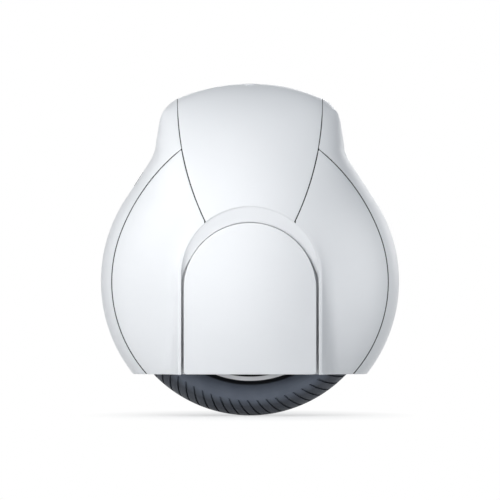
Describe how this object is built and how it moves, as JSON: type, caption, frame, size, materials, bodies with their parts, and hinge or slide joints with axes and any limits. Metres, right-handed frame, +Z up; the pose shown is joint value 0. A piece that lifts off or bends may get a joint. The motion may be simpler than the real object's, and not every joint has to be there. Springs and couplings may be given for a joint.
{
  "type": "electric unicycle",
  "caption": "Self-balancing electric unicycle: one hub-motor wheel in a rounded white body with a hand tunnel through the neck and pedals that fold up into arched side bays.",
  "frame": {"origin": "floor under the wheel's centre", "axes": "+X along travel, +Y along the axle to the left, +Z up"},
  "size_m": [0.402, 0.182, 0.4469],
  "materials": {
    "white_gloss": "gloss white moulded plastic",
    "black_plastic": "fine-textured black plastic",
    "grey_plastic": "satin grey plastic",
    "tyre_rubber": "dark rubber",
    "black_rubber": "matte black rubber",
    "cast_aluminium": "machined casting",
    "steel": "plain steel",
    "brass": "plain brass and copper",
    "clear_lens": "frosted clear plastic",
    "pack_wrap": "blue shrink wrap",
    "board_green": "solder mask"
  },
  "bodies": {
    "frame": {"axle": "steel", "bearing_inner_races": "steel", "stator_core": "steel", "stator_windings": "brass", "stator_hub": "cast_aluminium", "axle_washers": "steel", "left_axle_nut": "steel", "right_axle_nut": "steel", "left_chassis": "black_plastic", "right_chassis": "black_plastic", "mudguard": "black_plastic", "left_hanger": "cast_aluminium", "right_hanger": "cast_aluminium", "hanger_bolts": "steel", "left_pedal_pin": "steel", "right_pedal_pin": "steel", "front_cowl": "white_gloss", "rear_cowl": "white_gloss", "left_side_cover": "white_gloss", "right_side_cover": "white_gloss", "top_cover": "white_gloss", "indicator_lens": "clear_lens", "handle_tunnel": "black_plastic", "handle_frame": "steel", "handle_bolts": "steel", "charge_socket": "black_plastic", "charge_contacts": "brass", "left_front_battery": "pack_wrap", "right_front_battery": "pack_wrap", "left_rear_battery": "pack_wrap", "right_rear_battery": "pack_wrap", "latch_magnets": "steel", "control_board": "board_green", "heat_sink": "cast_aluminium", "button_bezel": "white_gloss", "button_switch": "black_plastic", "indicator_board": "board_green", "board_posts": "black_plastic"},
    "wheel": {"tyre": "tyre_rubber", "inner_tube": "black_rubber", "valve_stem": "brass", "rim": "cast_aluminium", "rotor_ring": "steel", "rotor_magnets": "steel", "left_motor_cover": "cast_aluminium", "right_motor_cover": "cast_aluminium", "motor_cover_screws": "steel", "bearing_outer_races": "steel", "bearing_balls": "steel"},
    "left_pedal_unit": {"left_pedal": "white_gloss", "left_pedal_grip": "black_rubber", "left_pedal_keeper": "steel"},
    "right_pedal_unit": {"right_pedal": "white_gloss", "right_pedal_grip": "black_rubber", "right_pedal_keeper": "steel"},
    "button": {"power_button": "grey_plastic"},
    "charge_cap": {"charge_port_cap": "black_rubber"}
  },
  "joints": [
    {"name": "wheel_spin", "type": "hinge", "parent": "frame", "child": "wheel", "pos_m": [0, 0, 0.18], "axis": [0, 1, 0], "continuous": true},
    {"name": "left_pedal_fold", "type": "hinge", "parent": "frame", "child": "left_pedal_unit", "pos_m": [0, 0.078, 0.0677], "axis": [-1, 0, 0], "range_deg": [0, 82]},
    {"name": "right_pedal_fold", "type": "hinge", "parent": "frame", "child": "right_pedal_unit", "pos_m": [0, -0.078, 0.0677], "axis": [1, 0, 0], "range_deg": [0, 82]},
    {"name": "power_button_press", "type": "slide", "parent": "frame", "child": "button", "axis": [0, 0, -1], "range_m": [0, 0.0016], "stiffness_N_per_m": 400, "springref_m": -0.001},
    {"name": "charge_cap_swing", "type": "hinge", "parent": "frame", "child": "charge_cap", "pos_m": [-0.14346, 0, 0.32712], "axis": [0, 1, 0], "range_deg": [0, 100]}
  ]
}
